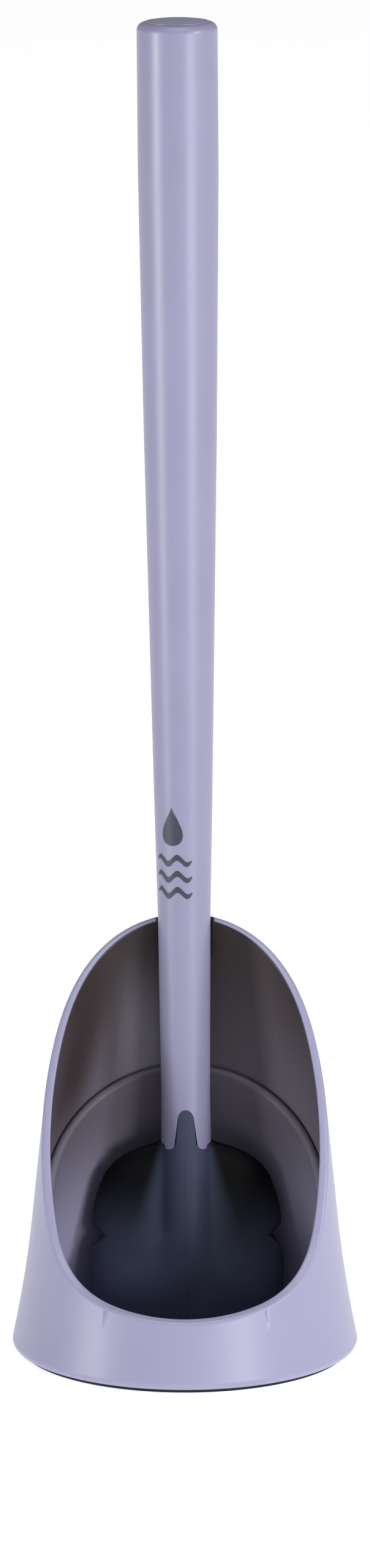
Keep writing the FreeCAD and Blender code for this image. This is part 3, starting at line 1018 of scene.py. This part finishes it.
def smooth_through(levels: tuple[float, ...], sizes: tuple[float, ...], heights: np.ndarray) -> np.ndarray:
    """A smooth curve through sizes given at levels.

    Between two levels it is the cubic whose slopes there are those of the chords on either side.

    Args:
        levels: Heights of the given sizes.
        sizes: The sizes.
        heights: Heights at which the curve is wanted.

    Returns:
        The curve's values.
    """
    x, y = np.array(levels), np.array(sizes)
    slope = np.gradient(y, x)
    place = np.clip(np.searchsorted(x, heights, side="right") - 1, 0, len(x) - 2)
    span = x[place + 1] - x[place]
    share = np.clip((heights - x[place]) / span, 0.0, 1.0)
    rest = 1.0 - share
    return (
        y[place] * rest**2 * (1.0 + 2.0 * share)
        + y[place + 1] * share**2 * (3.0 - 2.0 * share)
        + (slope[place] * rest - slope[place + 1] * share) * span * share * rest
    )


@dataclass
class Plunger(Assembly):
    """The handle with its cap, the core and pin inside it, the rubber head and the printed sign."""

    stance: Stance = field(default_factory=Stance)

    def build(self) -> None:
        """Makes and dresses every piece of the plunger."""
        self.dress(Node.TUBE, HANDLE_PLASTIC)
        self.dress(Node.CAP, CAP_PLASTIC)
        self.dress(Node.CORE, CORE_PLASTIC)
        self.dress(Node.PIN, PIN_STEEL)
        head = self.add(RubberHead(self.stance).build(), HEAD_RUBBER, "head_rubber")
        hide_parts(Node.HEAD.value)
        for shape in WaterMark(self.stance).build():
            self.add(shape, MARK_INK, "handle_plastic")


# ---------------------------------------------------------------- studio


@dataclass(frozen=True)
class Softbox:
    """A rectangular studio light that faces the object."""

    name: str
    azimuth: float
    reach: float
    height: float
    width: float
    tall: float
    power: float
    aim: float = 0.15
    spread: float = 180.0

    def hang(self) -> bpy.types.Object:
        """Places the light.

        Returns:
            The light's object.
        """
        lamp = bpy.data.lights.new(self.name, "AREA")
        lamp.shape = "RECTANGLE"
        lamp.size = self.width
        lamp.size_y = self.tall
        lamp.energy = self.power
        lamp.spread = math.radians(self.spread)
        turn = math.radians(self.azimuth)
        place = Vector((math.sin(turn) * self.reach, -math.cos(turn) * self.reach, self.height))
        held = bpy.data.objects.new(self.name, lamp)
        held.location = place
        held.rotation_euler = (place - Vector((0.0, 0.0, self.aim))).to_track_quat("Z", "Y").to_euler()
        bpy.context.scene.collection.objects.link(held)
        return held


@dataclass
class Studio:
    """Pale floor, soft light and camera."""

    floor_half: float = 9.0
    floor_glow: float = 0.75
    ambient: float = 0.25
    camera_depth: float = -3.5
    camera_height: float = 1.025
    camera_tilt: float = 77.02
    camera_lens: float = 220.9
    sensor: float = 36.0
    softboxes: tuple[Softbox, ...] = field(
        default=(
            Softbox("left_softbox", -64.0, 1.7, 0.38, 0.5, 0.76, 1.3, 0.38, 44.0),
            Softbox("right_softbox", 38.0, 2.0, 0.20, 0.8, 0.5, 15.0, 0.05),
            Softbox("key_softbox", 60.0, 1.7, 0.90, 0.4, 0.4, 14.0, 0.10),
            Softbox("top_softbox", 10.0, 0.5, 2.3, 1.2, 1.2, 18.0, 0.1),
        )
    )

    def build(self) -> None:
        """Makes the floor, the world, the lights and the camera."""
        self._lay_floor()
        self._light_world()
        for softbox in self.softboxes:
            softbox.hang()
        self._set_camera()
        bpy.context.scene.view_settings.view_transform = "Standard"

    def _lay_floor(self) -> None:
        """Lays a square floor under the object; it is a flat grid at height zero."""
        ticks = np.linspace(-self.floor_half, self.floor_half, 9)
        across, along = np.meshgrid(ticks, ticks)
        points = np.stack([across, along, np.zeros_like(across)], axis=-1)
        floor = surface("floor", points)
        board = Board("floor_paint")
        grain = board.noise(120.0, 3.0)
        colour = board.blend(grain, (0.80, 0.80, 0.80), (0.82, 0.82, 0.82))
        fixed = {
            "Roughness": 0.7,
            "Specular IOR Level": 0.2,
            "Emission Color": (1.0, 1.0, 1.0, 1.0),
            "Emission Strength": self.floor_glow,
        }
        floor.data.materials.append(board.finish(fixed, {"Base Color": colour}))

    def _light_world(self) -> None:
        """Gives the world an even pale glow."""
        world = bpy.data.worlds.new("studio_air")
        world.use_nodes = True
        air = world.node_tree.nodes["Background"]
        air.inputs["Color"].default_value = (1.0, 1.0, 1.0, 1.0)
        air.inputs["Strength"].default_value = self.ambient
        bpy.context.scene.world = world

    def _set_camera(self) -> None:
        """Places the camera in front of the object, looking slightly down."""
        lens = bpy.data.cameras.new("camera")
        lens.lens = self.camera_lens
        lens.sensor_width = self.sensor
        lens.clip_end = 60.0
        camera = bpy.data.objects.new("camera", lens)
        camera.location = (0.0, self.camera_depth, self.camera_height)
        camera.rotation_euler = Euler((math.radians(self.camera_tilt), 0.0, 0.0))
        bpy.context.scene.collection.objects.link(camera)
        bpy.context.scene.camera = camera


def main() -> None:
    logging.basicConfig(level=logging.INFO, format="%(name)s %(message)s")
    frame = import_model()
    Base(frame, Body.BASE).build()
    Holder(frame, Body.SHELL).build()
    Plunger(frame, Body.PLUNGER).build()
    Studio().build()


if __name__ == "__main__":
    main()
